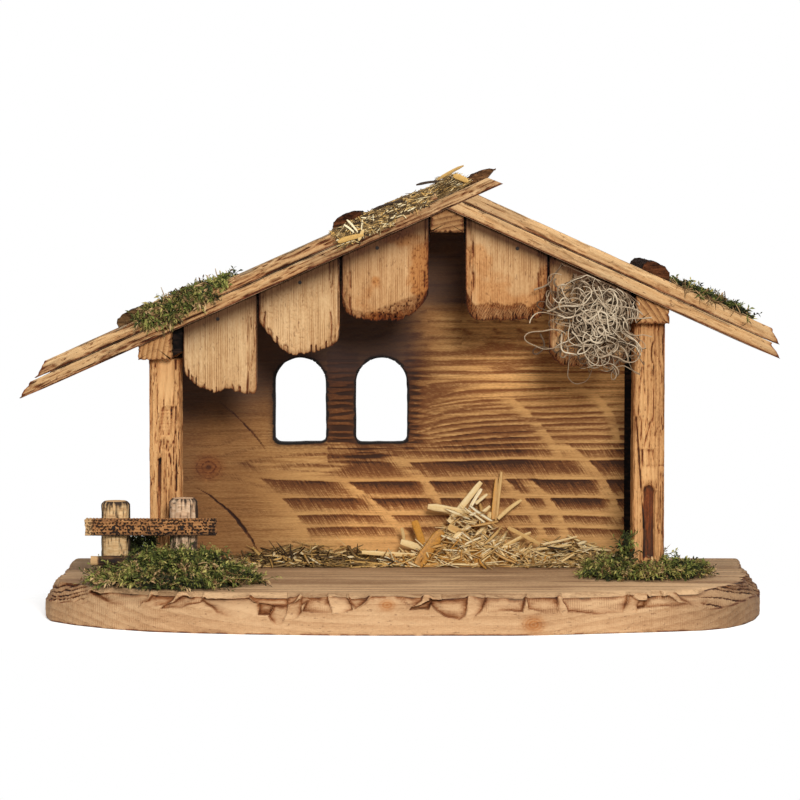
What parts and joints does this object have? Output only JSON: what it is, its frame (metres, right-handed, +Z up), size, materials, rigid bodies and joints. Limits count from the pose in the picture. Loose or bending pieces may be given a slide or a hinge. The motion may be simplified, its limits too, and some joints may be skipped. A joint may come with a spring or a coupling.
{
  "type": "wooden nativity stable",
  "caption": "Open-fronted rustic timber stable with a pitched board roof, arched windows in its back wall, hanging gable boards, a small fence and dried moss, straw and lichen.",
  "frame": {"origin": "middle of the underside of the base, under the centre of the whole object's box", "axes": "+X to the right seen from the open front, +Y from the open front to the back wall, +Z up"},
  "size_m": [0.5, 0.206, 0.2998],
  "materials": {
    "base_wood": "hewn, brown-stained softwood",
    "wall_wood": "brushed softwood with scorched grain",
    "post_wood": "carved softwood, scorched",
    "charred_wood": "charred, matt",
    "beam_wood": "sawn end grain, scorched",
    "roof_wood": "split softwood, scorched",
    "gable_wood": "sawn softwood",
    "bark_wood": "rough bark",
    "fence_wood": "round branch, part peeled",
    "rail_wood": "scorched, pitted",
    "dowel_wood": "plain turned dowel",
    "steel": "dull wire",
    "moss": "dried moss",
    "lichen": "dried curly lichen",
    "hay": "chopped hay",
    "straw": "glossy split straw"
  },
  "bodies": {
    "root": {"base_board": "base_wood", "back_wall": "wall_wood", "left_front_post": "post_wood", "right_front_post": "post_wood", "left_rear_post": "charred_wood", "right_rear_post": "charred_wood", "left_purlin": "beam_wood", "right_purlin": "beam_wood", "ridge_beam": "beam_wood", "left_roof_lower_board": "roof_wood", "left_roof_upper_board": "roof_wood", "right_roof_lower_board": "roof_wood", "right_roof_upper_board": "roof_wood", "left_gable_batten": "beam_wood", "right_gable_batten": "beam_wood", "gable_board_1": "gable_wood", "gable_board_2": "gable_wood", "gable_board_3": "gable_wood", "gable_board_4": "gable_wood", "gable_board_5": "gable_wood", "left_low_roof_batten": "bark_wood", "left_middle_roof_batten": "bark_wood", "right_roof_batten": "bark_wood", "ridge_roof_batten": "bark_wood", "outer_fence_post": "fence_wood", "inner_fence_post": "fence_wood", "fence_top_rail": "rail_wood", "fence_low_rail": "rail_wood", "base_screws": "steel", "post_dowels": "dowel_wood", "wall_dowels": "dowel_wood", "fence_dowels": "dowel_wood", "gable_board_nails": "steel", "roof_nails": "steel", "roof_batten_nails": "steel", "fence_nails": "steel", "fence_moss": "moss", "right_post_moss": "moss", "left_roof_moss": "moss", "right_roof_moss": "moss", "roof_hay": "hay", "straw_heap": "straw", "floor_hay": "hay", "lichen_tuft": "lichen"}
  },
  "joints": []
}
